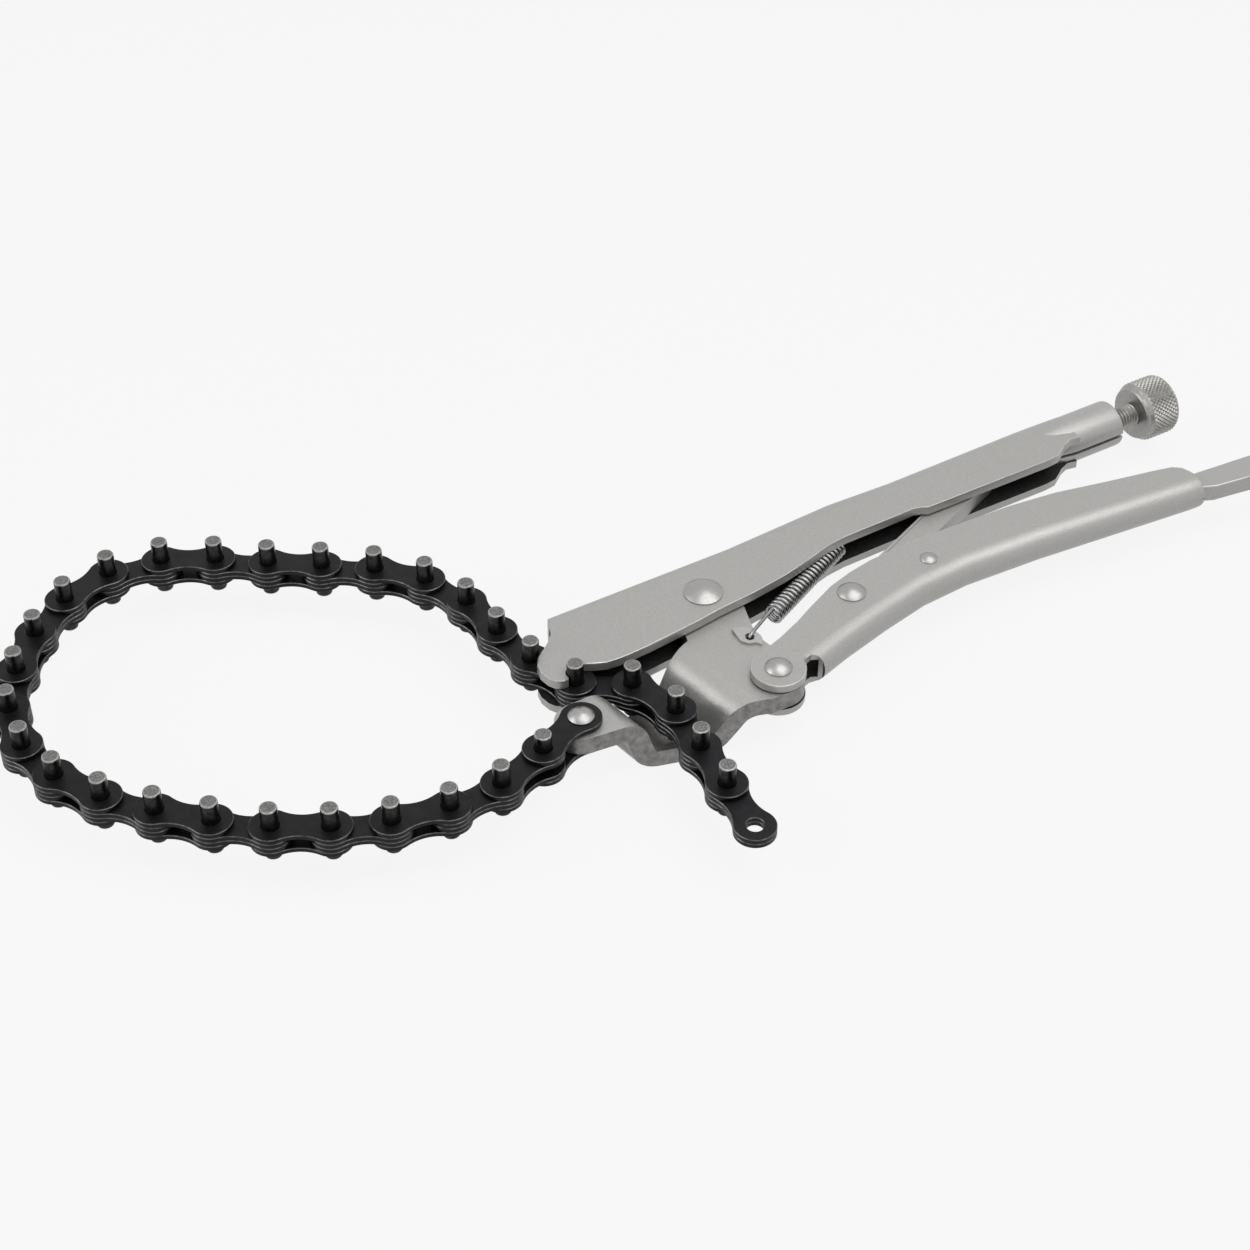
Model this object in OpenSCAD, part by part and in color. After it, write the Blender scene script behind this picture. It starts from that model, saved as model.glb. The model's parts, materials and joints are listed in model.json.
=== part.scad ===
// Locking chain pipe wrench: a folded fixed handle with two nose hooks, a thick bent jaw,
// a lever on a toggle link, an adjusting screw, and a leaf chain with long pins.
// The handle runs along +X, the pins along +Z, and the tool lies on the plane z = 0.

/* [Chain] */
// distance between neighbouring chain pins
pitch = 17; // [16.5:0.1:17.5]
// thickness of one chain plate
plate_t = 1.6; // [1.4:0.05:1.65]
// diameter of the round eye at each end of a plate
plate_d = 12.6; // [11.6:0.1:13.4]
// width of a plate at its waist
plate_waist = 8.6; // [7:0.1:10]
// diameter of a chain pin
pin_d = 5.2; // [4.4:0.1:5.6]
// how far a pin stands out of the upper outer plate
pin_above = 7.1; // [5:0.1:7.6]
// how far a pin stands out of the lower outer plate
pin_below = 5; // [4:0.1:7]
// side clearance between neighbouring plates
plate_gap = 0.05; // [0.03:0.01:0.07]
// radial running clearance of a turning hole on its pin
run_fit = 0.05; // [0.02:0.01:0.09]

/* [Chain path] */
// plan position of the pin that lies in the nose hook, from the main pivot
hook_pin = [-52.4, -11.6];
// heading of the first loop link away from the hook, in degrees
loop_start = 112; // [108:1:116]
// turn at each following loop pin, in degrees, from the hook round to the jaw
loop_turn = [-14, -3, 16, 20, 12, 2, -2, 8, 20, 26, 20, 13, 12, 20, 20, 17, 11, 5, 6, 8, 8, 11, 14, 14, 4];
// heading of the first tail link away from the hook, in degrees
tail_start = -34; // [-38:1:-30]
// turn at each following tail pin, in degrees
tail_turn = [-38, -25, 1, 1];

/* [Fixed handle] */
// thickness of the handle sheet
handle_t = 3; // [2.5:0.1:3.2]
// clear width between the handle cheeks
handle_gap = 7; // [6.9:0.05:7.3]
// outer line of the folded spine, from the nose to the grip
blade_line = [[-46.4, 15.8], [18, 15.8], [58, 18], [82, 18.4]];
// bend radius outside the spine in the front blade
spine_bend = 3.2; // [2:0.1:4]
// bend radius outside the spine in the rear grip
grip_bend = 5; // [4:0.1:5.5]
// clearance of the hooked pin in the notch
notch_clear = 0.35; // [0.2:0.05:0.6]
// outer diameter of the barrel round the screw
barrel_d = 15.8; // [14:0.1:17]
// length of the barrel
barrel_len = 20; // [17:0.5:22]
// open seam of the rolled barrel
barrel_seam = 1.2; // [0.6:0.1:2]

/* [Adjusting screw] */
// height of the screw axis from the main pivot axis, across the handle
screw_y = 10.8; // [10.4:0.1:11]
// outer diameter of the thread
screw_d = 8; // [7.4:0.1:8.4]
// radial thread clearance in the barrel
screw_fit = 0.08; // [0.03:0.01:0.1]
// diameter of the knurled knob
knob_d = 20.6; // [18:0.1:22]
// length of the knurled knob
knob_len = 14; // [11:0.1:15]
// length of bare thread between the barrel and the knob
knob_stand = 7; // [4:0.1:9]
// overall length from the nose to the end of the knob
overall = 252; // [248:0.5:256]

/* [Moving jaw] */
// thickness of the bent jaw plate
jaw_t = 6; // [5.4:0.1:6.2]
// gap between the ends of the pins and the floor of the trough
trough_clear = 1.6; // [1.4:0.1:2]
// plan position of the bend at the tongue
trough_front = -50.4; // [-51.5:0.1:-50]
// slope of the wall at the tongue, in degrees
front_slope = 74; // [70:1:76]
// middle radius of the bends at the tongue
front_bend = 4; // [3.6:0.1:5]
// plan position of the bend at the flat
trough_rear = -12.4; // [-12.9:0.1:-12]
// slope of the wall at the flat, in degrees
rear_slope = 55; // [50:1:60]
// middle radius of the bends at the flat
rear_bend = 8; // [7:0.1:9]
// turn of the bend lines away from square to the handle, in degrees
trough_skew = 10; // [8:0.5:11]
// gap between the jaw's edge and the first tail link
edge_clear = 0.6; // [0.5:0.1:1]
// radius of the tongue round the chain rivet
tongue_r = 8; // [7:0.1:9]
// radius of the jaw round the main pivot
boss_r = 9; // [8:0.1:10]

/* [Lever] */
// plan position of the lever pivot on the jaw
lever_at = [1, -40.4];
// plan position of the toggle pivot on the lever
toggle_at = [39.6, -23.1];
// plan position of the release lever pivot
release_at = [69.8, -22];
// thickness of the lever sheet
lever_t = 2.5; // [2.2:0.1:2.7]
// clear width between the lever cheeks
lever_gap = 7; // [6.9:0.05:7.3]
// outer line of the lever's round spine, front to end
lever_line = [[12.5, -44.8], [27, -40.4], [45, -35.9], [62.5, -32.3], [80, -31.2], [107, -32.6],
    [134, -35.2], [150, -36.6], [170, -38.4]];
// bend radius outside the lever's spine
lever_bend = 5; // [4:0.1:5.2]
// radius of the lever's ears
ear_r = 8.5; // [7.5:0.1:9]

/* [Toggle link and release lever] */
// distance from the toggle's rounded rear end to the barrel
toggle_reach = 29; // [26:0.5:32]
// radius of the toggle's rounded rear end
toggle_end_r = 4; // [3:0.1:4.5]
// width of the toggle bar
toggle_w = 8.6; // [7:0.1:9]
// thickness of the toggle bar
toggle_t = 6; // [5:0.1:6.4]
// gap left between the toggle and the screw tip
toggle_clear = 1.5; // [1.4:0.1:2]
// width of the release lever
release_w = 6.2; // [5:0.1:6.4]
// sheet thickness of the release lever
release_t = 1.6; // [1.2:0.1:1.8]
// gap between the release lever and the lever's spine
release_clear = 0.6; // [0.4:0.1:1]
// length of the release lever's tail past the lever
release_tail = 28; // [24:1:34]

/* [Rivets and spring] */
// shank diameter of the main rivet
main_d = 10; // [8:0.1:10.6]
// shank diameter of the lever and toggle rivets
link_d = 6.6; // [5.6:0.1:7]
// shank diameter of the release lever rivet
release_d = 4; // [3.4:0.1:4.4]
// shank diameter of the chain rivet
chain_d = 5.8; // [5:0.1:6.2]
// radial clearance of the chain's open end on its rivet
open_fit = 0.1; // [0.1:0.01:0.2]
// outer diameter of the spring coil
spring_d = 6.8; // [5.4:0.1:6.9]
// spring wire diameter
wire_d = 1.2; // [1:0.1:1.4]

/* [Hidden] */
$fn = 40;

// bright and dark metal of the pieces
nickel = [0.72, 0.71, 0.69];
steel = [0.62, 0.62, 0.62];
black = [0.17, 0.17, 0.18];

pin_r = pin_d / 2;
eye_r = plate_d / 2;

// levels of the plates above the middle plane: inner, outer and first link
inner_z = plate_gap / 2;
outer_z = inner_z + plate_t + plate_gap;
first_z = outer_z + plate_t + plate_gap;
pin_high = outer_z + plate_t + pin_above;
pin_low = outer_z + plate_t + pin_below;

// side curve of a waisted plate, tangent to both eyes
side_r = (pow(pitch / 2, 2) + pow(plate_waist / 2, 2) - pow(eye_r, 2)) / (2 * (eye_r - plate_waist / 2));
side_y = plate_waist / 2 + side_r;
tangent_x = eye_r * pitch / 2 / (eye_r + side_r);
tangent_y = eye_r * side_y / (eye_r + side_r);

// pins of the loop, counted from the hook, and of the tail
function total(v, n) = n < 0 ? 0 : v[n] + total(v, n - 1);
function step(a) = [pitch * cos(a), pitch * sin(a)];
function loop_heading(k) = loop_start + total(loop_turn, k - 1);
function tail_heading(k) = tail_start + total(tail_turn, k - 1);
function loop_pin(k) = k == 0 ? hook_pin : loop_pin(k - 1) + step(loop_heading(k - 1));
function tail_pin(k) = k == 0 ? hook_pin : tail_pin(k - 1) + step(tail_heading(k - 1));
loop_count = len(loop_turn) + 1;
tail_count = len(tail_turn) + 1;
function chain_pin(i) = i <= loop_count ? loop_pin(loop_count - i) : tail_pin(i - loop_count);
chain_at = chain_pin(0);

// jaw levels: the trough's floor lies below the ends of the pins
floor_z = -pin_low - trough_clear - jaw_t / 2;
// the bend positions hold at this distance from the main pivot
skew_y = -30;

handle_half = handle_gap / 2 + handle_t;
lever_half = lever_gap / 2 + lever_t;
nose_x = -61.2;
knob_end = nose_x + overall;
barrel_end = knob_end - knob_len - knob_stand;
barrel_start = barrel_end - barrel_len;
spine_line = concat(blade_line, [[barrel_start - 16, 19.2], [barrel_start + 2, 18.6]]);
toggle_end = [barrel_start - toggle_reach, screw_y];
screw_tip = toggle_end[0] + toggle_end_r + toggle_clear;
tail_end = [lever_line[8][0] + release_tail, -40];

// the whole stands on its lowest face, centred over its own plan
pins_x = [for (i = [0 : loop_count + tail_count]) chain_pin(i)[0]];
pins_y = [for (i = [0 : loop_count + tail_count]) chain_pin(i)[1]];
low = [min(pins_x) - eye_r, min(pins_y) - eye_r, floor_z - jaw_t / 2];
high = [tail_end[0], max(pins_y) + eye_r];
stand = [-(low[0] + high[0]) / 2, -(low[1] + high[1]) / 2, -low[2]];

module at(p) {
    translate([p[0], p[1], 0])
        children();
}

// points of an arc about c
function arc(c, r, a0, a1, n = 8) =
    [for (i = [0 : n]) let (a = a0 + (a1 - a0) * i / n) c + r * [cos(a), sin(a)]];

// upright hole or shank through the middle plane
module post(r, half) {
    cylinder(r = r, h = 2 * half, center = true);
}

// flat sheet of an outline between two heights
module sheet(points, z0, z1) {
    translate([0, 0, z0])
        linear_extrude(height = z1 - z0)
            polygon(points);
}

// both the upper and the lower copy
module both() {
    children();
    mirror([0, 0, 1])
        children();
}

// domed rivet head standing on z = 0
module dome(r, h) {
    ball = (r * r + h * h) / (2 * h);
    intersection() {
        translate([0, 0, h - ball])
            sphere(r = ball, $fn = 60);
        cylinder(r = r + 1, h = h + 1);
    }
}

// rivet with a shank and a dome at each face
module rivet(p, shank_r, face_z, head_r, head_h) {
    at(p) {
        post(shank_r, face_z);
        both()
            translate([0, 0, face_z])
                dome(head_r, head_h);
    }
}

// waste along the outer edges of a folded spine from a to b; side is +1 where the spine lies at +Y
module edge_waste(a, b, half, r, side) {
    run = norm(b - a);
    over = 0.5;
    // the cut stays this far outside the flat of the spine
    skim = 0.03;
    bend = [for (i = [0 : 5]) [-r + r * sin(18 * i), half - r + r * cos(18 * i)]];
    section = concat(bend, [[r, half - r], [r, half + r], [-r, half + r]]);
    at(a)
        rotate([0, 0, atan2(b[1] - a[1], b[0] - a[0])])
            both()
                translate([-over, 0, 0])
                    rotate([90, 0, 90])
                        linear_extrude(height = run + 2 * over)
                            polygon([for (p = section) [side * (p[0] + skim), p[1]]]);
}

// round bar along X, from x0 to x1 on the screw axis
module along_screw(r, x0, x1) {
    translate([x0, screw_y, 0])
        rotate([0, 90, 0])
            cylinder(r = r, h = x1 - x0);
}

// folded handle: two hooked cheeks, a spine and a rolled barrel
module fixed_handle() {
    notch_r = pin_r + notch_clear;
    notch_left = hook_pin[0] - notch_r;
    // free edge from the barrel, where it sweeps down to the grip, to the notch
    sweep = [for (p = [[0.8, 2.9], [-2.8, 3.6], [-6.3, 2.2], [-9, 0.4], [-11.7, -1.3], [-16, -1.8]])
        p + [barrel_start, 0]];
    blade_edge = [[84.8, -1.6], [83, -0.4], [80.3, 0.3], [53.5, -0.2], [46.4, -1.1], [37.5, -3.6],
        [26.8, -6.2], [13.4, -8.2], [0, -9.4], [-9, -10.7], [-26.8, -12.5], [-34, -12.9],
        [-38.4, -12.9], [-42, -12.5], [-45.5, -11], [-48.4, -9.4]];
    notch_mouth = [[hook_pin[0] + 1.5, -10.6], [hook_pin[0] - 1.5, -10.6]];
    nose = [[notch_left - 0.3, -13.2], [-57.4, -13.2], [-59.4, -12], [-60.6, -9.8], [nose_x, -6.3],
        [-60.6, -3], [-58.6, 0.2], [-55.2, 2.6], [-52, 5.2], [-49, 8.8]];
    cheek = concat(spine_line, sweep, blade_edge, notch_mouth, nose);
    inside = concat([for (p = spine_line) p - [0, handle_t]],
        [[barrel_start + 2, -60], [-90, -60], [-90, spine_line[0][1] - handle_t]]);
    color(nickel)
        difference() {
            union() {
                difference() {
                    sheet(cheek, -handle_half, handle_half);
                    sheet(inside, -handle_gap / 2, handle_gap / 2);
                    for (i = [0 : len(spine_line) - 2])
                        edge_waste(spine_line[i], spine_line[i + 1], handle_half,
                            spine_line[i][0] < 80 ? spine_bend : grip_bend, 1);
                }
                translate([barrel_start - 10, screw_y, 0])
                    rotate([0, 90, 0])
                        cylinder(r1 = handle_half - 0.2, r2 = barrel_d / 2, h = 10);
                along_screw(barrel_d / 2, barrel_start, barrel_end);
                // lug inside the spine that takes the spring's rear hook
                translate([58.5, 8, -1.2])
                    cube([5, 8, 2.4]);
            }
            at(hook_pin)
                post(notch_r, handle_half + 1);
            post(main_d / 2, handle_half + 1);
            along_screw(screw_d / 2 + screw_fit, barrel_start - 30, barrel_end + 1);
            translate([barrel_start - 8, 0, -barrel_seam / 2])
                cube([barrel_len + 10, screw_y, barrel_seam]);
            at([61, 10.5])
                post(wire_d, 4);
        }
}

module main_rivet() {
    color(steel)
        rivet([0, 0], main_d / 2, handle_half, 6.2, 2.4);
}

// thumb screw: threaded shank, rounded tip and a chamfered knob
module adjusting_screw() {
    chamfer = 1.4;
    color(steel) {
        difference() {
            union() {
                translate([screw_tip, screw_y, 0])
                    rotate([0, 90, 0])
                        cylinder(r1 = screw_d / 2 - 1, r2 = screw_d / 2, h = 1);
                along_screw(screw_d / 2, screw_tip + 1, knob_end - knob_len);
                translate([knob_end - knob_len, screw_y, 0])
                    rotate([0, 90, 0]) {
                        cylinder(r1 = knob_d / 2 - chamfer, r2 = knob_d / 2, h = chamfer);
                        translate([0, 0, chamfer])
                            cylinder(r = knob_d / 2, h = knob_len - 2 * chamfer);
                        translate([0, 0, knob_len - chamfer])
                            cylinder(r1 = knob_d / 2, r2 = knob_d / 2 - chamfer, h = chamfer);
                    }
            }
            along_screw(3, knob_end - 1.5, knob_end + 1);
        }
    }
}

// side profile of the bent jaw plate at a distance d above its middle line, front to rear
function jaw_side(d) =
    let (
        drop = -floor_z,
        fl = (drop - 2 * front_bend * (1 - cos(front_slope))) / sin(front_slope),
        rl = (drop - 2 * rear_bend * (1 - cos(rear_slope))) / sin(rear_slope),
        f_run = 2 * front_bend * sin(front_slope) + fl * cos(front_slope),
        r_run = 2 * rear_bend * sin(rear_slope) + rl * cos(rear_slope)
    )
    concat(
        [[trough_front - 30, d]],
        arc([trough_front, -front_bend], front_bend + d, 90, 90 - front_slope),
        arc([trough_front + f_run, floor_z + front_bend], front_bend - d, 270 - front_slope, 270),
        arc([trough_rear - r_run, floor_z + rear_bend], rear_bend - d, 270, 270 + rear_slope),
        arc([trough_rear, -rear_bend], rear_bend + d, 90 + rear_slope, 90),
        [[trough_rear + 40, d]]
    );

// thick jaw plate, bent down into a trough that the chain's tail crosses
module moving_jaw() {
    upper = jaw_side(jaw_t / 2);
    lower = jaw_side(-jaw_t / 2);
    side = concat(upper, [for (i = [len(lower) - 1 : -1 : 0]) lower[i]]);
    far_y = chain_at[1] + tongue_r;
    near_y = chain_at[1] - tongue_r;
    // stretch of the far edge that runs along the waist of the first tail link
    waist_at = hook_pin + step(tail_start) / 2 + side_y * [sin(tail_start), -cos(tail_start)];
    relief = arc(waist_at, side_r - edge_clear, tail_start + 100, tail_start + 70, 4);
    near_edge = [[9, 0], [9.5, -8.8], [6.8, -17], [5.4, -22], [6.2, -27], [7.6, -33], [9.2, -40.4],
        [1, -48.6], [-6, -48.4], [-13, -46], [-20.5, -44], [-26, -43], [-34, -40.5], [-46, near_y - 1.6],
        [chain_at[0], near_y], [chain_at[0], far_y]];
    plan = concat(near_edge, relief, [[-42, -22.6], [-36, far_y + 0.4], [-27, -18], [-14, -13.4],
        [-12, -6], [-9, 0]]);
    color(nickel)
        difference() {
            intersection() {
                union() {
                    sheet(plan, floor_z - jaw_t, jaw_t);
                    for (p = [[[0, 0], boss_r], [lever_at, 8.2], [chain_at, tongue_r]])
                        at(p[0])
                            translate([0, 0, floor_z - jaw_t])
                                cylinder(r = p[1], h = jaw_t * 2 - floor_z);
                }
                translate([0, skew_y, 0])
                    rotate([90, 0, trough_skew])
                        linear_extrude(height = 140, center = true)
                            polygon(side);
            }
            post(main_d / 2 + run_fit, 10);
            at(lever_at)
                post(link_d / 2 + run_fit, 10);
            at(chain_at)
                post(chain_d / 2, 10);
            at([2.6, -22.4])
                post(wire_d, 10);
        }
}

module chain_rivet() {
    color(steel)
        rivet(chain_at, chain_d / 2, first_z + plate_t + plate_gap, 4, 2);
}

// folded lever: ears round the pivot, two cheeks and a round spine
module lever_handle() {
    far_edge = [[170, -29.6], [169, -26.8], [166.4, -24.8], [160.6, -23.4], [143, -19.8], [125, -15.8],
        [107, -13.6], [84.8, -12.6], [71.4, -12.2], [53.5, -13.1], [44.6, -14.7], [35.7, -17.2],
        [24, -22.5], [17.8, -25.6], [9, -29.2]];
    cheek = concat(lever_line, far_edge, arc(lever_at, ear_r, 95, 335, 22));
    inside = concat([for (p = lever_line) p + [0, lever_t]],
        [[190, -36], [190, 10], [-30, 10], [-30, -70], [lever_line[0][0] + 1, -70]]);
    color(nickel)
        difference() {
            sheet(cheek, -lever_half, lever_half);
            sheet(inside, -lever_gap / 2, lever_gap / 2);
            for (i = [0 : len(lever_line) - 2])
                edge_waste(lever_line[i], lever_line[i + 1], lever_half, lever_bend, -1);
            for (p = [lever_at, toggle_at])
                at(p)
                    post(link_d / 2, 10);
            at(release_at)
                post(release_d / 2, 10);
        }
}

module lever_rivet() {
    color(steel)
        rivet(lever_at, link_d / 2, lever_half, 4.2, 2.2);
}

module toggle_rivet() {
    color(steel)
        rivet(toggle_at, link_d / 2, lever_half, 4.5, 2.2);
}

module release_rivet() {
    color(steel)
        rivet(release_at, release_d / 2, lever_half, 2.8, 1.4);
}

// bar that props the lever against the screw tip
module toggle_link() {
    run = toggle_end - toggle_at;
    eye = 5.6;
    // the neck is a little narrower than the round end
    neck = 2 * toggle_end_r - 0.6;
    color(nickel)
        difference() {
            union() {
                at(toggle_at)
                    post(eye, toggle_t / 2);
                at(toggle_end)
                    post(toggle_end_r, toggle_t / 2);
                at(toggle_at)
                    rotate([0, 0, atan2(run[1], run[0])]) {
                        translate([0, -toggle_w / 2, -toggle_t / 2])
                            cube([norm(run) - 8, toggle_w, toggle_t]);
                        translate([norm(run) - 9, -neck / 2, -toggle_t / 2])
                            cube([9, neck, toggle_t]);
                    }
            }
            at(toggle_at)
                post(link_d / 2 + run_fit, 10);
        }
}

// pressed release lever: a pivot eye, a pad under the toggle and a channel tail
module release_lever() {
    rest = [for (i = [4 : 8]) lever_line[i] + [0, lever_t + release_clear]];
    near = concat([release_at + [-2, -4]], rest, [[175, -37.6], [186, -39.2], tail_end]);
    far = [tail_end + [0, 9], [186, -29.6], [168, -28], [150, -26.4], [134, -25], [107, -22], [86, -17.4],
        [82, -13.4], [79, -13.4], [75.5, -18]];
    hollow = [[92, -22.4], [107, -26.6], [134, -29.6], [150, -31], [168, -32.8], [186, -36.4],
        [tail_end[0] - 4, -37.4], [tail_end[0] - 4, -10], [92, -10]];
    color(nickel)
        difference() {
            union() {
                sheet(concat(near, far), -release_w / 2, release_w / 2);
                at(release_at)
                    post(4.4, release_w / 2);
            }
            sheet(hollow, release_t - release_w / 2, release_w / 2 - release_t);
            at(release_at)
                post(release_d / 2 + run_fit, 10);
        }
}

// straight wire between two points
module wire(a, b) {
    d = b - a;
    translate(a)
        rotate([0, acos(d[2] / norm(d)), atan2(d[1], d[0])])
            cylinder(r = wire_d / 2, h = norm(d));
}

// close coil drawn as a round bar, with a hooked wire at each end
module return_spring() {
    a = [16.6, -13.9, 0];
    b = [53.5, 3.5, 0];
    along = (b - a) / norm(b - a);
    over = [8, -19.2, jaw_t / 2 + 1.2];
    hook = [2.6, -22.4, jaw_t / 2 + 1.2];
    lug = [61, 10.5, 2.4];
    color(steel) {
        translate(a)
            rotate([0, 90, atan2(along[1], along[0])])
                cylinder(r = spring_d / 2, h = norm(b - a));
        wire(a + along, over);
        wire(over, hook);
        wire(hook, [hook[0], hook[1], -1]);
        wire(b - along, lug);
        wire(lug, [lug[0], lug[1], -1.8]);
        for (p = [over, hook, lug])
            translate(p)
                sphere(r = wire_d * 0.6);
    }
}

// one waisted plate lying from z up, its first eye at the origin and its length along +X
module plate(z, hole_a, hole_b) {
    translate([0, 0, z])
        difference() {
            union() {
                for (x = [0, pitch])
                    translate([x, 0, 0])
                        cylinder(r = eye_r, h = plate_t);
                difference() {
                    translate([tangent_x, -tangent_y, 0])
                        cube([pitch - 2 * tangent_x, 2 * tangent_y, plate_t]);
                    for (s = [-1, 1])
                        translate([pitch / 2, s * side_y, -1])
                            cylinder(r = side_r, h = plate_t + 2);
                }
            }
            translate([0, 0, -1])
                cylinder(r = hole_a, h = plate_t + 2);
            translate([pitch, 0, -1])
                cylinder(r = hole_b, h = plate_t + 2);
        }
}

// plates of link i, from pin i to pin i + 1: a first link, then outer and inner links in turn
module link(i) {
    a = chain_pin(i);
    b = chain_pin(i + 1);
    turning = pin_r + run_fit;
    color(black)
        at(a)
            rotate([0, 0, atan2(b[1] - a[1], b[0] - a[0])])
                both()
                    if (i == 0) {
                        plate(first_z, chain_d / 2 + open_fit, turning);
                    } else if (i % 2 == 1) {
                        plate(outer_z, pin_r, pin_r);
                    } else {
                        plate(inner_z, turning, turning);
                    }
}

// the two long pins pressed into outer link i
module pins(i) {
    color(steel)
        for (k = [i, i + 1])
            at(chain_pin(k))
                translate([0, 0, -pin_low])
                    cylinder(r = pin_r, h = pin_low + pin_high);
}

translate(stand) {
    fixed_handle();
    main_rivet();
    adjusting_screw();
    moving_jaw();
    chain_rivet();
    lever_handle();
    lever_rivet();
    toggle_rivet();
    toggle_link();
    release_lever();
    release_rivet();
    return_spring();
    link(0);  // link_00
    link(1);  // link_01
    link(2);  // link_02
    link(3);  // link_03
    link(4);  // link_04
    link(5);  // link_05
    link(6);  // link_06
    link(7);  // link_07
    link(8);  // link_08
    link(9);  // link_09
    link(10);  // link_10
    link(11);  // link_11
    link(12);  // link_12
    link(13);  // link_13
    link(14);  // link_14
    link(15);  // link_15
    link(16);  // link_16
    link(17);  // link_17
    link(18);  // link_18
    link(19);  // link_19
    link(20);  // link_20
    link(21);  // link_21
    link(22);  // link_22
    link(23);  // link_23
    link(24);  // link_24
    link(25);  // link_25
    link(26);  // link_26
    link(27);  // link_27
    link(28);  // link_28
    link(29);  // link_29
    link(30);  // link_30
    pins(1);  // pins_01
    pins(3);  // pins_03
    pins(5);  // pins_05
    pins(7);  // pins_07
    pins(9);  // pins_09
    pins(11);  // pins_11
    pins(13);  // pins_13
    pins(15);  // pins_15
    pins(17);  // pins_17
    pins(19);  // pins_19
    pins(21);  // pins_21
    pins(23);  // pins_23
    pins(25);  // pins_25
    pins(27);  // pins_27
    pins(29);  // pins_29
}
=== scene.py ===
import json
import math

import bmesh
import bpy
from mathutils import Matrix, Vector

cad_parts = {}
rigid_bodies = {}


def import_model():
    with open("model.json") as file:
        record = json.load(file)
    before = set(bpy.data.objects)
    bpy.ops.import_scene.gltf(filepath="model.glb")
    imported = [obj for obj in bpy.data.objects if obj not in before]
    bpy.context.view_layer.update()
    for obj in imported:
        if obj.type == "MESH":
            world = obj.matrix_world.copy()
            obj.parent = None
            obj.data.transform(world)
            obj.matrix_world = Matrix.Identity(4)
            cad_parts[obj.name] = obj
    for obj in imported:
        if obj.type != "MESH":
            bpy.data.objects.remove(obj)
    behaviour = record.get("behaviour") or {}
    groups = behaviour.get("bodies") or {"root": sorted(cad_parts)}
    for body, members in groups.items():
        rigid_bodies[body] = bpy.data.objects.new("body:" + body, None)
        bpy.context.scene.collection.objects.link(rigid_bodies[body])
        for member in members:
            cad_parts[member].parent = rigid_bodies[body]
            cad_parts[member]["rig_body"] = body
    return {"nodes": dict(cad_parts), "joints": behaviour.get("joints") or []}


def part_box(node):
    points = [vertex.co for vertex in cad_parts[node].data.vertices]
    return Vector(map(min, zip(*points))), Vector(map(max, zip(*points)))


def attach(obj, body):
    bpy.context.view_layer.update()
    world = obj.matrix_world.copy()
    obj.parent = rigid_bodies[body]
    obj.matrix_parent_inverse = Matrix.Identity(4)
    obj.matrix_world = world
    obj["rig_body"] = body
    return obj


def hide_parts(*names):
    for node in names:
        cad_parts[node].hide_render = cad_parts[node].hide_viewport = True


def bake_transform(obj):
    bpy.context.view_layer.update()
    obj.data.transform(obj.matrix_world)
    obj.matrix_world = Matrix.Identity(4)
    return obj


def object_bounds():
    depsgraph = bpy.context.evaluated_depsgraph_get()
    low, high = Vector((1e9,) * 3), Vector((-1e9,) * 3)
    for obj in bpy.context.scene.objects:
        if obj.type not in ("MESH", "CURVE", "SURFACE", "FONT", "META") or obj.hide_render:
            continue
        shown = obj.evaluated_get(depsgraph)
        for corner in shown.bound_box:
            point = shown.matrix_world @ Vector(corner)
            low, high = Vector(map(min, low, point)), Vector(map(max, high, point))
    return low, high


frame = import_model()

solid_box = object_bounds()

# Fixed handle: one steel blank pressed into two hooked cheeks joined by a round spine, with its tail
# rolled into a barrel for the screw. It is bead blasted and nickel plated, and its cut edges are soft.
mm = 0.001
main_pivot = next(Vector(joint["pos_m"]) for joint in frame["joints"] if joint["name"] == "jaw_pivot")


def on_tool(x, y, z=0.0):
    """A place in millimetres from the main rivet's axis and the tool's middle plane."""
    return main_pivot + mm * Vector((x, y, z))


def add_node(tree, kind, settings=None, **sockets):
    """A shader node with its settings and unlinked sockets filled in."""
    made = tree.nodes.new(kind)
    for key, value in (settings or {}).items():
        setattr(made, key, value)
    for key, value in sockets.items():
        made.inputs[key.replace("_", " ")].default_value = value
    return made


def grain(tree, size, detail=3.0):
    """Noise whose grains are about size millimetres across, fixed to the piece."""
    place = add_node(tree, "ShaderNodeTexCoord")
    noise = add_node(tree, "ShaderNodeTexNoise", Scale=1.0 / (size * mm), Detail=detail, Roughness=0.6)
    tree.links.new(place.outputs["Object"], noise.inputs["Vector"])
    return noise.outputs["Fac"]


def between(tree, factor, low, high, start=0.3, stop=0.7):
    """Two colours, or two plain numbers, blended by a noise."""
    if isinstance(low, tuple):
        ramp = add_node(tree, "ShaderNodeValToRGB")
        ramp.color_ramp.elements[0].position = start
        ramp.color_ramp.elements[1].position = stop
        ramp.color_ramp.elements[0].color = (*low, 1.0)
        ramp.color_ramp.elements[1].color = (*high, 1.0)
        tree.links.new(factor, ramp.inputs["Fac"])
        return ramp.outputs["Color"]
    span = add_node(tree, "ShaderNodeMapRange", From_Min=start, From_Max=stop, To_Min=low, To_Max=high)
    tree.links.new(factor, span.inputs["Value"])
    return span.outputs["Result"]


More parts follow.
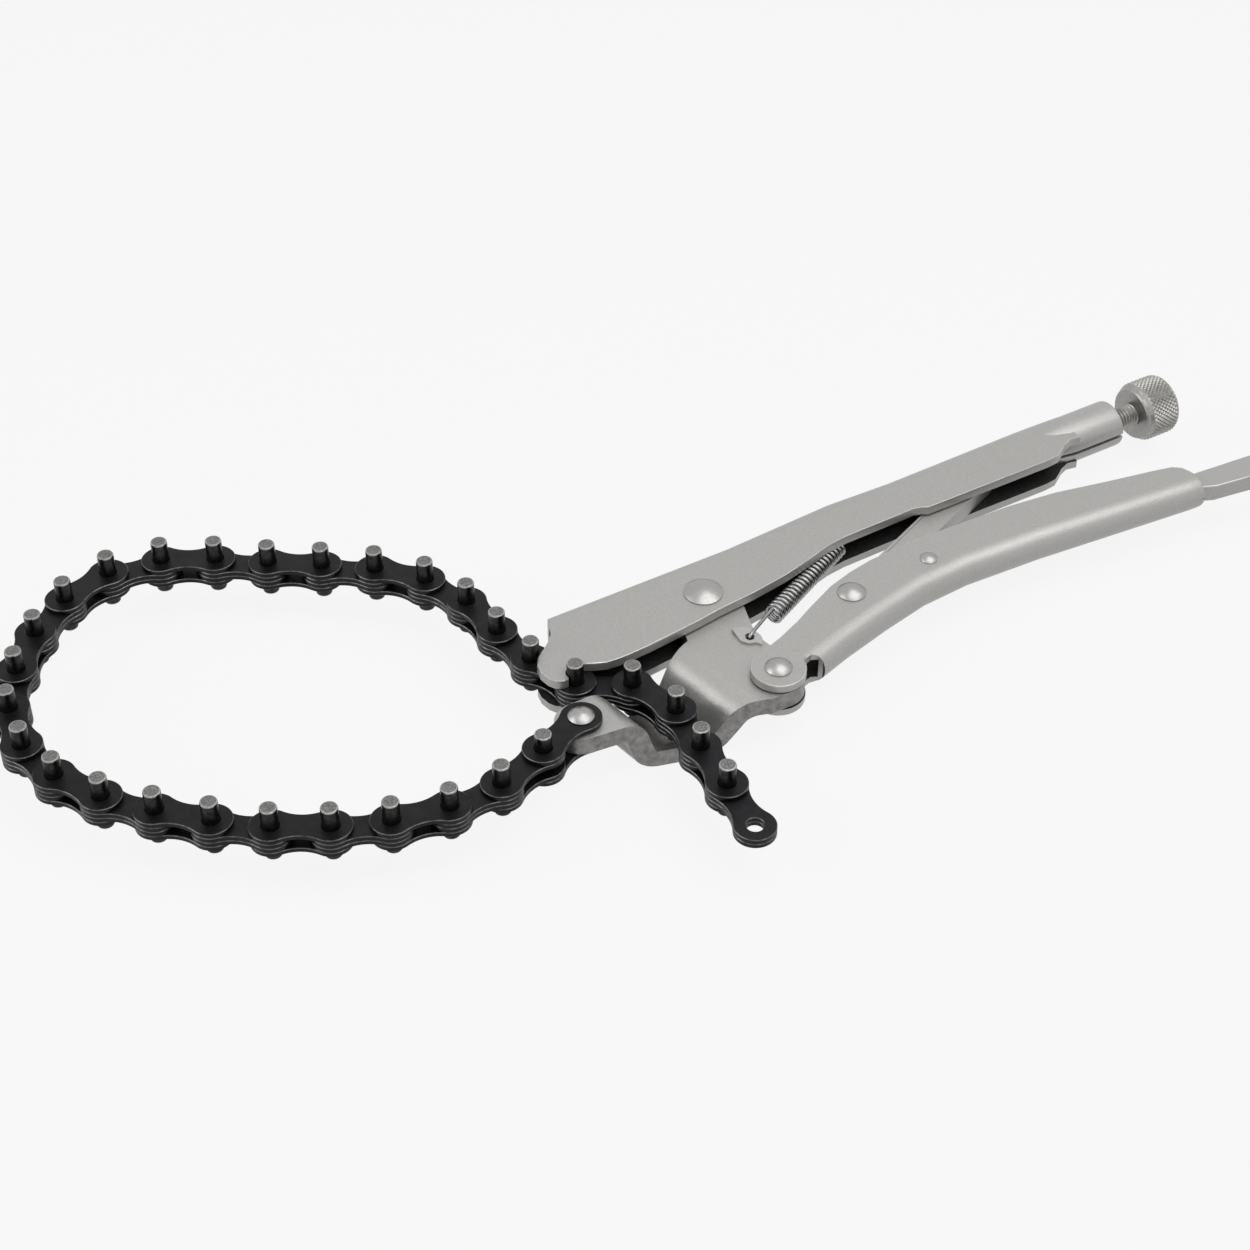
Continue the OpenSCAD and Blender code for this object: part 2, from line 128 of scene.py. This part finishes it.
def metal_finish(name, dark, light, tone, rough, grit, depth, metallic=1.0):
    """A metal that wanders from dark to light over tone millimetres, with a grit of a size and a depth."""
    finish = bpy.data.materials.new(name)
    finish.use_nodes = True
    tree = finish.node_tree
    shader = tree.nodes["Principled BSDF"]
    shader.inputs["Metallic"].default_value = metallic
    tree.links.new(between(tree, grain(tree, tone, 4.0), dark, light), shader.inputs["Base Color"])
    tree.links.new(between(tree, grain(tree, 2 * grit), *rough), shader.inputs["Roughness"])
    bump = add_node(tree, "ShaderNodeBump", Strength=0.5, Distance=depth * mm)
    tree.links.new(grain(tree, grit), bump.inputs["Height"])
    tree.links.new(bump.outputs["Normal"], shader.inputs["Normal"])
    return finish


def add_piece(name, shape, finishes, body, slot, *nodes):
    """Turns a bmesh into a piece that stands for the given solids and rides on a body, if one is named."""
    crease = math.radians(38)
    mesh = bpy.data.meshes.new(name)
    bmesh.ops.recalc_face_normals(shape, faces=shape.faces)
    for edge in shape.edges:
        edge.smooth = len(edge.link_faces) == 2 and edge.calc_face_angle(0.0) < crease
    for face in shape.faces:
        face.smooth = True
    shape.to_mesh(mesh)
    shape.free()
    for finish in finishes:
        mesh.materials.append(finish)
    piece = bpy.data.objects.new(name, mesh)
    bpy.context.scene.collection.objects.link(piece)
    even = piece.modifiers.new("even_shading", "WEIGHTED_NORMAL")
    even.keep_sharp = True
    if body:
        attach(piece, body)
    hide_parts(*nodes)
    return piece


def join_rings(shape, rings):
    """Faces between rings of points, with a face on each end."""
    for below, above in zip(rings, rings[1:]):
        count = len(below)
        for i in range(count):
            j = (i + 1) % count
            shape.faces.new((below[i], below[j], above[j], above[i]))
    shape.faces.new(rings[0])
    shape.faces.new(rings[-1][::-1])


def fold_waste(line, half, bends, dips, inward, side):
    """What a press takes off a square fold on one side of the tool.

    line is the fold's outer edge, bends the radius at each of its points and dips how far it is drawn in."""
    clear = 4.0
    skim = 0.04
    run_in = 0.4
    graze = 0.01
    turns = [math.radians(angle) for angle in range(7, 85, 7)]
    shape = bmesh.new()
    rings = []
    for i, (x, y) in enumerate(line):
        ahead = Vector(line[min(i + 1, len(line) - 1)]) - Vector(line[max(i - 1, 0)])
        across = inward * Vector((-ahead.y, ahead.x)).normalized()
        bend, dip = bends[i], dips[i]
        section = [(bend + run_in, half + graze)]
        section += [(bend - bend * math.sin(t) + dip - skim, half - bend + bend * math.cos(t) - dip)
                    for t in turns]
        section += [(-clear, section[-1][1]), (-clear, half + clear), (bend + run_in, half + clear)]
        rings.append([shape.verts.new(on_tool(x + across.x * u, y + across.y * u, side * z))
                      for u, z in section])
    join_rings(shape, rings)
    bmesh.ops.recalc_face_normals(shape, faces=shape.faces)
    return shape


def trimmed(node, wastes):
    """A copy of a solid's mesh with the wastes cut away."""
    blank = bpy.data.objects.new("blank", frame["nodes"][node].data.copy())
    bpy.context.scene.collection.objects.link(blank)
    cutters = []
    for waste in wastes:
        mesh = bpy.data.meshes.new("waste")
        waste.to_mesh(mesh)
        waste.free()
        cutters.append(bpy.data.objects.new("waste", mesh))
        bpy.context.scene.collection.objects.link(cutters[-1])
        cut = blank.modifiers.new("cut", "BOOLEAN")
        cut.operation = "DIFFERENCE"
        cut.solver = "EXACT"
        cut.object = cutters[-1]
    result = bpy.data.meshes.new_from_object(blank.evaluated_get(bpy.context.evaluated_depsgraph_get()))
    for spent in [blank] + cutters:
        bpy.data.objects.remove(spent)
    return result


def soft_edged(node, radius, steps=2, wastes=(), shortest=0.0, outside=0.0):
    """A solid's own form with its hard edges rounded; the rounded bands take the second finish.

    Edges that end at one shorter than shortest stay sharp, and so do those nearer to the tool's middle
    plane than outside, where a fold's wall is too thin for them."""
    weld = 0.002 * mm
    flat = math.radians(0.5)
    hard = math.radians(40)
    shape = bmesh.new()
    shape.from_mesh(trimmed(node, wastes) if wastes else frame["nodes"][node].data)
    bmesh.ops.remove_doubles(shape, verts=shape.verts, dist=weld)
    bmesh.ops.dissolve_limit(shape, angle_limit=flat, verts=shape.verts, edges=shape.edges)
    for face in shape.faces:
        face.material_index = 0
    rounded = [edge for edge in shape.edges
               if edge.is_convex and edge.calc_face_angle(0.0) > hard
               and all(near.calc_length() > shortest * mm for end in edge.verts for near in end.link_edges)
               and all(abs(end.co.z - main_pivot.z) >= outside * mm for end in edge.verts)]
    bmesh.ops.bevel(shape, geom=rounded, offset=radius * mm, segments=steps, profile=0.5, affect="EDGES",
                    clamp_overlap=not shortest, material=1)
    return shape


nickel = metal_finish("blasted_nickel", dark=(0.37, 0.365, 0.355), light=(0.45, 0.445, 0.43), tone=0.5,
                      rough=(0.32, 0.44), grit=0.45, depth=0.13, metallic=0.62)
nickel_edge = metal_finish("rubbed_nickel", dark=(0.42, 0.415, 0.40), light=(0.52, 0.51, 0.49), tone=1.0,
                           rough=(0.28, 0.38), grit=0.5, depth=0.02, metallic=0.8)
# The third finish is a near-black painted shade for the faces deep inside the folds, standing in for the
# shadow there.
painted_shade = metal_finish("painted_shade_nickel", dark=(0.02, 0.02, 0.019), light=(0.045, 0.044, 0.042), tone=1.5,
                      rough=(0.5, 0.62), grit=0.45, depth=0.06, metallic=0.4)
cheek_depth = 5.0
fold_inside = 3.6 * mm
handle_half = 6.5
handle_line = [(-48.4, 15.8), (18.0, 15.8), (58.0, 18.0), (82.0, 18.4), (133.8, 19.2), (149.0, 18.7)]
handle_bends = [3.6, 3.6, 3.6, 5.5, 5.5, 4.9]
handle_dips = [0.0] * len(handle_line)
handle_wastes = [fold_waste(handle_line, handle_half, handle_bends, handle_dips, inward=-1, side=side)
                 for side in (1, -1)]
pressing = soft_edged("fixed_handle", radius=0.45, wastes=handle_wastes, shortest=0.95, outside=cheek_depth)
# Faces inside the fold, near the middle plane and short of the barrel, take the near-black painted shade.
inside_end = on_tool(146.0, 0.0).x
for face in pressing.faces:
    middle = face.calc_center_median()
    if abs(middle.z - main_pivot.z) < fold_inside and face.normal.y < 0.3 and middle.x < inside_end:
        face.material_index = 2

cone_start = 139.8
cone_r = 6.36
barrel_start = 149.8
barrel_end = 169.85
barrel_r = 7.96
barrel_y = 10.8
bore_r = 5.5
lip_start = 168.3
lip_r = 4.7
half_seam = math.radians(4.4)
barrel_sides = 64
barrel_wall = [(cone_start, bore_r), (cone_start, cone_r), (barrel_start, barrel_r),
               (barrel_end - 0.85, barrel_r), (barrel_end - 0.35, barrel_r - 0.16),
               (barrel_end, barrel_r - 0.66), (barrel_end, lip_r), (lip_start, lip_r), (lip_start, bore_r)]
barrel_rings = []
for i in range(barrel_sides + 1):
    turn = -math.pi / 2 + half_seam + (2 * math.pi - 2 * half_seam) * i / barrel_sides
    barrel_rings.append([pressing.verts.new(on_tool(x, barrel_y + r * math.sin(turn), r * math.cos(turn)))
                         for x, r in barrel_wall])
join_rings(pressing, barrel_rings)
add_piece("handle_pressing", pressing, [nickel, nickel_edge, painted_shade], "handle", "nickel", "fixed_handle")

# Main rivet: a thick turned rivet with a low dome set over each cheek. It holds the jaw between the
# cheeks. Bright nickel, smoother than the pressings.
rivet_finish = metal_finish("bright_rivet", dark=(0.31, 0.306, 0.30), light=(0.38, 0.375, 0.365), tone=0.8,
                            rough=(0.3, 0.4), grit=0.3, depth=0.02, metallic=0.95)


def turned(profile, centre, sides=48):
    """A form turned about an upright axis from (radius, height) pairs in metres, lowest first."""
    shape = bmesh.new()
    rings = []
    for radius, height in profile:
        at = [centre + Vector((radius * math.cos(a), radius * math.sin(a), height))
              for a in (2 * math.pi * i / sides for i in range(sides))]
        rings.append([shape.verts.new(p) for p in at])
    for below, above in zip(rings, rings[1:]):
        for i in range(sides):
            j = (i + 1) % sides
            shape.faces.new((below[i], below[j], above[j], above[i]))
    for ring in (rings[0], rings[-1]):
        pole = shape.verts.new(centre + Vector((0, 0, ring[0].co.z - centre.z)))
        for i in range(sides):
            shape.faces.new((ring[i], ring[(i + 1) % sides], pole))
    return shape


def domed_rivet(name, node, body):
    """A rivet with the solid's own head and shank sizes, its dome set on a thin rim."""
    rim_share = 0.14
    dome_rings = 14
    low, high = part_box(node)
    centre = (low + high) / 2
    head = (high.x - low.x) / 2
    top = (high.z - low.z) / 2
    spots = [((v.co - centre).xy.length, v.co.z - centre.z) for v in frame["nodes"][node].data.vertices]
    seat = max(z for r, z in spots if r > 0.96 * head)
    shank = min(r for r, z in spots if r > 0.3 * head and abs(z) < seat + 0.01 * mm)
    rise = (top - seat) * (1 - rim_share)
    ball = (head * head + rise * rise) / (2 * rise)
    lean = math.asin(head / ball)
    half = [(shank, seat), (0.98 * head, seat)]
    half += [(ball * math.sin(t), top - ball * (1 - math.cos(t)))
             for t in (lean * (1 - i / dome_rings) for i in range(dome_rings))]
    profile = [(r, -z) for r, z in reversed(half)] + half
    add_piece(name, turned(profile, centre), [rivet_finish], body, "rivet", node)


domed_rivet("main_rivet_head", "main_rivet", "handle")

# Adjusting screw: a plated steel screw with a rolled thread, running in the barrel, and a thumb knob
# with a diamond knurl. Its tip props the toggle link inside the handle.
screw_finish = metal_finish("screw_steel", dark=(0.27, 0.265, 0.255), light=(0.40, 0.39, 0.375), tone=1.0,
                            rough=(0.28, 0.42), grit=0.25, depth=0.012, metallic=0.85)
screw_low, screw_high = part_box("adjusting_screw")
screw_axis = (screw_low + screw_high) / 2
knob_r = (screw_high.z - screw_low.z) / 2
knob_turned_out = 3.0 * mm
knob_len = 14.0 * mm
knob_end = screw_high.x + knob_turned_out
knob_start = knob_end - knob_len
thread_r = 4.0 * mm
thread_pitch = 1.25 * mm
thread_depth = 0.68 * mm


def about_screw(x, radius, angle):
    """A place on a circle about the screw's axis."""
    return Vector((x, screw_axis.y + radius * math.cos(angle), screw_axis.z + radius * math.sin(angle)))


def turned_on_screw(shape, profile, sides):
    """A form turned about the screw's axis from (place, radius) pairs."""
    join_rings(shape, [[shape.verts.new(about_screw(x, r, 2 * math.pi * i / sides)) for i in range(sides)]
                       for x, r in profile])


def threaded_shank(shape, start, stop, sides=40):
    """Rings that follow the helix, so that crest and root lie on mesh lines; the ends are cut square."""
    form = ((0.0, 1.0), (0.38, 0.0), (0.5, 0.0), (0.88, 1.0))
    turns = int((stop - start) / thread_pitch) + 2
    columns = []
    for i in range(sides):
        column = []
        for k in range(-1, turns):
            for shift, drop in form:
                x = start + thread_pitch * (k + shift + i / sides)
                radius = thread_r - thread_depth * drop
                spot = about_screw(min(max(x, start), stop), radius, 2 * math.pi * i / sides)
                column.append(shape.verts.new(spot))
        columns.append(column)
    rows = len(columns[0])
    for i in range(sides):
        step = len(form) if i == sides - 1 else 0
        here, there = columns[i], columns[(i + 1) % sides]
        for k in range(rows - 1 - step):
            shape.faces.new((here[k], there[k + step], there[k + 1 + step], here[k + 1]))


screw = bmesh.new()
threaded_shank(screw, screw_low.x + 1.0 * mm, knob_start + 0.5 * mm)
core_r = thread_r - 0.9 * thread_depth
tip_chamfer = 0.5 * mm
tip_len = 0.6 * mm
core_in_knob = 1.0 * mm
turned_on_screw(screw, [(screw_low.x, core_r - tip_chamfer), (screw_low.x + tip_len, core_r),
                        (knob_start + core_in_knob, core_r)], sides=40)
knurl_depth = 0.55 * mm
knurl_start = knob_start + 2.2 * mm
knurl_stop = knob_end - 1.3 * mm
rim_r = knob_r - knurl_depth
boss_r = 5.6 * mm
collar_r = knob_r - 1.4 * mm
collar_len = 1.2 * mm
collar_chamfer = 0.5 * mm
crown_r = knob_r - 2.4 * mm
crown_drop = 0.35 * mm
crown_step = 0.8 * mm
dimple_r = 3.2 * mm
dimple_floor_r = 2.4 * mm
dimple_depth = 0.6 * mm
turned_on_screw(screw, [(knob_start, boss_r), (knob_start, collar_r - collar_chamfer),
                        (knob_start + collar_chamfer, collar_r), (knob_start + collar_len, collar_r),
                        (knurl_start, rim_r), (knurl_stop, rim_r),
                        (knob_end - crown_drop, crown_r + crown_step), (knob_end, crown_r),
                        (knob_end, dimple_r), (knob_end - dimple_depth, dimple_floor_r)], sides=80)
knurl_columns = 84
knurl_rows = 12
lattice = []
for row in range(knurl_rows + 1):
    x = knurl_start + (knurl_stop - knurl_start) * row / knurl_rows
    at_edge = row in (0, knurl_rows)
    lattice.append([])
    for i in range(knurl_columns):
        radius = knob_r if (row + i) % 2 == 0 and not at_edge else rim_r
        lattice[-1].append(screw.verts.new(about_screw(x, radius, 2 * math.pi * i / knurl_columns)))
for row in range(knurl_rows):
    for i in range(knurl_columns):
        j = (i + 1) % knurl_columns
        a, b, c, d = lattice[row][i], lattice[row][j], lattice[row + 1][j], lattice[row + 1][i]
        for corners in (((a, b, c), (a, c, d)) if (row + i) % 2 else ((a, b, d), (b, c, d))):
            screw.faces.new(corners)
add_piece("thumb_screw", screw, [screw_finish], "screw", "screw", "adjusting_screw")

# Moving jaw: a thick plate blanked and bent hot, flat at the rivets, then down into a trough under the
# chain and up to a tongue. Its sheared edges are left rough under the plating.
sheared = metal_finish("sheared_nickel", dark=(0.17, 0.165, 0.16), light=(0.34, 0.335, 0.32), tone=2.2,
                       rough=(0.36, 0.52), grit=0.7, depth=0.16, metallic=0.6)
jaw = soft_edged("moving_jaw", radius=0.6)
for face in jaw.faces:
    if abs(face.normal.z) < 0.3:
        face.material_index = 1
add_piece("jaw_plate", jaw, [nickel, sheared], "jaw", "nickel", "moving_jaw")

# Lever: a steel blank pressed into a round spine with two flat ears over the jaw, blasted and plated
# like the handle. Three domed rivets hold it to the jaw, the toggle link and the release lever.
lever_half = 6.0
lever_line = [(11.9, -44.98), (27.0, -40.4), (45.0, -35.9), (62.5, -32.3), (80.0, -31.2), (107.0, -32.6),
              (134.0, -35.2), (150.0, -36.6), (165.0, -37.95), (168.0, -38.22), (169.4, -38.35),
              (170.8, -38.47)]
lever_bends = [lever_half] * len(lever_line)
lever_dips = [0.0] * 9 + [0.05, 0.15, 0.3]
ear_at = (1.0, -40.4)
ear_r = 8.5
ear_side = [(ear_at[0] + ear_r * math.cos(a), ear_at[1] + ear_r * math.sin(a))
            for a in (math.radians(angle) for angle in range(-30, 0, 6))]
mouth_outline = ear_side + [(10.9, -41.0), (12.8, -40.4), (14.6, -41.2), (15.7, -42.8), (16.3, -47.0),
                            (9.0, -49.0)]


def plan_waste(outline):
    """A block with the given outline, deep enough to cut right through a pressing."""
    deep = 9.0
    shape = bmesh.new()
    join_rings(shape, [[shape.verts.new(on_tool(x, y, z)) for x, y in outline] for z in (-deep, deep)])
    bmesh.ops.recalc_face_normals(shape, faces=shape.faces)
    return shape


lever_wastes = [plan_waste(mouth_outline)]
lever_wastes += [fold_waste(lever_line, lever_half, lever_bends, lever_dips, inward=1, side=side)
                 for side in (1, -1)]
lever = soft_edged("lever_handle", radius=0.4, wastes=lever_wastes, shortest=0.85, outside=cheek_depth)
# Faces inside the fold, near the middle plane, take the near-black painted shade.
for face in lever.faces:
    middle = face.calc_center_median()
    if abs(middle.z - main_pivot.z) < fold_inside and face.normal.y > -0.3:
        face.material_index = 2
add_piece("lever_pressing", lever, [nickel, nickel_edge, painted_shade], "lever", "nickel", "lever_handle")
domed_rivet("lever_rivet_head", "lever_rivet", "lever")
domed_rivet("toggle_rivet_head", "toggle_rivet", "lever")
domed_rivet("release_rivet_head", "release_rivet", "lever")

# Toggle link and release lever: a flat bar that locks the lever over centre against the screw, and the
# pressed channel that pries it free, with its thumb end rounded off. Both are plated.
toggle = soft_edged("toggle_link", radius=0.4, shortest=0.85)
add_piece("toggle_bar", toggle, [nickel, nickel_edge], "toggle", "nickel", "toggle_link")
tail_round = 4.0
tail_spare = 6.0
tail_x = 194.0
tail_far_y = -34.5
tail_near_y = -35.8


def corner_waste(y, side):
    """What is cut off one corner of the release lever's end; y is the level of the round's centre."""
    outline = [(tail_x + tail_round * math.sin(a), y + side * tail_round * math.cos(a))
               for a in (math.radians(angle) for angle in range(0, 91, 15))]
    outline += [(tail_x + tail_spare, y), (tail_x + tail_spare, y + side * tail_spare),
                (tail_x, y + side * tail_spare)]
    return plan_waste(outline)


tail_wastes = [corner_waste(tail_far_y, 1), corner_waste(tail_near_y, -1)]
release = soft_edged("release_lever", radius=0.5, steps=3, wastes=tail_wastes, shortest=1.02)
add_piece("release_pressing", release, [nickel, nickel_edge], "release", "nickel", "release_lever")

# Return spring: a close coil of drawn wire between the jaw and a lug inside the spine, with a straight
# hooked end at the jaw. A small plated eyelet on the jaw takes the hook.
wire_finish = metal_finish("spring_wire", dark=(0.26, 0.26, 0.26), light=(0.38, 0.38, 0.375), tone=2.0,
                           rough=(0.22, 0.32), grit=0.3, depth=0.01)
wire_r = 0.62 * mm
coil_r = 2.78 * mm
coil_pitch = 1.75 * mm
coil_front = on_tool(16.6, -13.9)
coil_rear = on_tool(53.5, 3.5)
jaw_hook = on_tool(2.6, -22.4, 4.2)
lug = on_tool(61, 10.5)


def wire_run(shape, points, radius, sides=10):
    """A round wire through the points, its section carried along without twist."""
    ahead = (points[1] - points[0]).normalized()
    side = ahead.orthogonal().normalized()
    rings = []
    for i, p in enumerate(points):
        along = (points[min(i + 1, len(points) - 1)] - points[max(i - 1, 0)]).normalized()
        side = (side - along * side.dot(along)).normalized()
        up = along.cross(side)
        rings.append([shape.verts.new(p + radius * (side * math.cos(a) + up * math.sin(a)))
                      for a in (2 * math.pi * k / sides for k in range(sides))])
    join_rings(shape, rings)


spring = bmesh.new()
coil_run = coil_rear - coil_front
coil_way = coil_run.normalized()
coil_up = Vector((0, 0, 1))
coil_side = coil_way.cross(coil_up)
coil_turns = round(coil_run.length / coil_pitch)
turn_steps = 20
coil = []
for k in range(coil_turns * turn_steps + 1):
    angle = 2 * math.pi * k / turn_steps
    coil.append(coil_front + coil_run * (k / (coil_turns * turn_steps))
                + coil_r * (coil_up * math.cos(angle) + coil_side * math.sin(angle)))
hook_points = ((0.4, 0.2, -5.0), (0.0, 0.0, -3.0), (0.0, 0.0, -1.0), (0.3, 0.2, -0.3), (0.9, 0.5, 0.0),
               (2.2, 1.3, 0.0))
lug_points = ((-3.0, -1.5, 2.4), (-0.8, -0.3, 2.4), (0.0, 0.0, 1.6), (0.0, 0.0, -1.6))
hook_end = [jaw_hook + mm * Vector(p) for p in hook_points]
lug_end = [coil[-1] + coil_way * 1.5 * mm] + [lug + mm * Vector(p) for p in lug_points]
wire_run(spring, hook_end + coil + lug_end, wire_r)
tab_rim = [(-5.4, 3.6), (-2.7, 4.0), (-0.3, 3.7), (1.4, 2.7), (3.3, 0.8), (3.9, -0.8), (3.6, -3.2),
           (1.9, -2.3), (-0.3, -2.8), (-2.7, -1.8), (-4.3, 1.2)]
tab_t = 0.9
tab_below_hook = 1.2
tab_hole = 1.5
tab_lean = math.radians(6)
tab_along = Vector((0.857, -0.515, 0.0))
tab_rise = math.cos(tab_lean) * Vector((0.515, 0.857, 0.0)) + math.sin(tab_lean) * Vector((0, 0, 1))
tab_face = tab_along.cross(tab_rise)


def on_tab(x, y, lift):
    """A place on the eyelet in millimetres from the hook."""
    return jaw_hook + mm * (tab_along * x + tab_rise * y + tab_face * lift)


tab = bmesh.new()
levels = []
for lift in (-tab_below_hook, -tab_below_hook + tab_t):
    outer = [on_tab(x, y, lift) for x, y in tab_rim]
    inner = [on_tab(tab_hole * math.cos(t), tab_hole * math.sin(t), lift)
             for t in (math.atan2(y, x) for x, y in tab_rim)]
    levels.append([[tab.verts.new(p) for p in ring] for ring in (outer, inner)])
(low_out, low_in), (top_out, top_in) = levels
for i in range(len(tab_rim)):
    j = (i + 1) % len(tab_rim)
    for a, b in ((low_out, top_out), (top_out, top_in), (top_in, low_in), (low_in, low_out)):
        tab.faces.new((a[i], a[j], b[j], b[i]))
add_piece("spring_tab", tab, [nickel], "jaw", "nickel")
spring_piece = add_piece("coil_spring", spring, [wire_finish], None, "spring", "return_spring")
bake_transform(spring_piece)

# Chain: leaf chain plates punched from strip and oxidised black, with their edges rubbed bright. The
# long pins are pressed into the outer plates, and their bare ends are worn bright at the rim. A domed
# rivet holds the first link to the jaw's tongue.
oxide = metal_finish("black_oxide", dark=(0.008, 0.008, 0.009), light=(0.016, 0.016, 0.018), tone=4.0,
                     rough=(0.36, 0.48), grit=0.4, depth=0.012, metallic=0.75)
rubbed = metal_finish("rubbed_oxide", dark=(0.04, 0.04, 0.04), light=(0.14, 0.14, 0.14), tone=2.0,
                      rough=(0.34, 0.46), grit=0.4, depth=0.012)
pin_side = metal_finish("pin_side", dark=(0.018, 0.018, 0.018), light=(0.05, 0.05, 0.05), tone=1.2,
                        rough=(0.3, 0.42), grit=0.25, depth=0.02)
pin_end = metal_finish("pin_end", dark=(0.09, 0.09, 0.088), light=(0.26, 0.255, 0.25), tone=0.6,
                       rough=(0.36, 0.5), grit=0.4, depth=0.08)
pin_rim = metal_finish("pin_rim", dark=(0.22, 0.22, 0.215), light=(0.42, 0.415, 0.40), tone=0.7,
                       rough=(0.3, 0.4), grit=0.4, depth=0.04)
for node in sorted(name for name in frame["nodes"] if name.startswith("link_")):
    run_body = frame["nodes"][node]["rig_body"]
    plates = soft_edged(node, radius=0.22, steps=1)
    add_piece(node.replace("link", "plates"), plates, [oxide, rubbed], run_body, "chain_black", node)
for node in sorted(name for name in frame["nodes"] if name.startswith("pins_")):
    run_body = frame["nodes"][node]["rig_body"]
    pins = soft_edged(node, radius=0.45)
    for face in pins.faces:
        if abs(face.normal.z) > 0.98:
            face.material_index = 1
        elif abs(face.normal.z) > 0.1:
            face.material_index = 2
    add_piece(node + "_steel", pins, [pin_side, pin_end, pin_rim], run_body, "pin", node)
domed_rivet("chain_rivet_head", "chain_rivet", "jaw")

# Floor: a sheet of pale paper that the tool lies on. It shows almost as white as the background and
# keeps the tool's shadow.
paper_grey = 0.6
white_share = 0.88
floor_half = 3.0
floor_gap = 0.1 * mm


def rays_that_see_white(tree):
    """1 for the rays that show the background: the camera's, and those by gloss or through glass."""
    rays = add_node(tree, "ShaderNodeLightPath")
    total = rays.outputs["Is Camera Ray"]
    for kind in ("Is Glossy Ray", "Is Transmission Ray"):
        either = add_node(tree, "ShaderNodeMath", {"operation": "MAXIMUM"})
        tree.links.new(total, either.inputs[0])
        tree.links.new(rays.outputs[kind], either.inputs[1])
        total = either.outputs[0]
    return total


ground = bpy.data.materials.new("pale_floor")
ground.use_nodes = True
tree = ground.node_tree
tree.nodes.clear()
paper = add_node(tree, "ShaderNodeBsdfDiffuse", Color=(paper_grey, paper_grey, paper_grey, 1.0))
white = add_node(tree, "ShaderNodeEmission", Color=(1.0, 1.0, 1.0, 1.0), Strength=1.0)
cover = add_node(tree, "ShaderNodeMixShader")
surface = add_node(tree, "ShaderNodeOutputMaterial")
share = add_node(tree, "ShaderNodeMath", {"operation": "MULTIPLY"})
share.inputs[1].default_value = white_share
tree.links.new(rays_that_see_white(tree), share.inputs[0])
tree.links.new(share.outputs[0], cover.inputs["Fac"])
tree.links.new(paper.outputs[0], cover.inputs[1])
tree.links.new(white.outputs[0], cover.inputs[2])
tree.links.new(cover.outputs[0], surface.inputs["Surface"])
floor_corners = [(floor_half * x, floor_half * y, 0) for x, y in ((-1, -1), (1, -1), (1, 1), (-1, 1))]
floor_mesh = bpy.data.meshes.new("floor")
floor_mesh.from_pydata(floor_corners, [], [(0, 1, 2, 3)])
floor_mesh.materials.append(ground)
floor = bpy.data.objects.new("floor", floor_mesh)
floor.location.z = solid_box[0][2] - floor_gap
bpy.context.scene.collection.objects.link(floor)

# Studio: a dim even room, one broad soft box above the tool on the camera's side and a weaker one from
# the left. The room shows white to the camera and in the metal.
room_level = 0.22
world = bpy.data.worlds.new("studio")
bpy.context.scene.world = world
world.use_nodes = True
tree = world.node_tree
room = tree.nodes["Background"]
room.inputs["Color"].default_value = (1.0, 1.0, 1.0, 1.0)
level = add_node(tree, "ShaderNodeMapRange", From_Min=0.0, From_Max=1.0, To_Min=room_level, To_Max=1.0)
tree.links.new(rays_that_see_white(tree), level.inputs["Value"])
tree.links.new(level.outputs["Result"], room.inputs["Strength"])


def soft_light(name, place, size, power):
    """A square soft box that faces the middle of the floor."""
    lamp = bpy.data.lights.new(name, "AREA")
    lamp.size = size
    lamp.energy = power
    stand = bpy.data.objects.new(name, lamp)
    stand.location = place
    stand.rotation_euler = (-Vector(place)).to_track_quat("-Z", "Y").to_euler()
    bpy.context.scene.collection.objects.link(stand)


soft_light("top_box", place=(0.2, -0.28, 0.94), size=1.0, power=6.2)
soft_light("left_box", place=(-0.9, 0.3, 0.6), size=0.7, power=3.4)
bpy.context.scene.view_settings.view_transform = "Standard"

# Camera: it looks down on the tool from the chain's end, as in the photo. Its place is measured from
# the main rivet.
camera = bpy.data.cameras.new("photo_view")
camera.sensor_width = 36.0
camera.lens = 71.2
look = Vector((0.3887, 0.6469, -0.6561))
tripod = bpy.data.objects.new("photo_view", camera)
tripod.location = on_tool(-320.65, -486.77, 499.4)
tripod.rotation_euler = look.to_track_quat("-Z", "Y").to_euler()
bpy.context.scene.collection.objects.link(tripod)
bpy.context.scene.camera = tripod
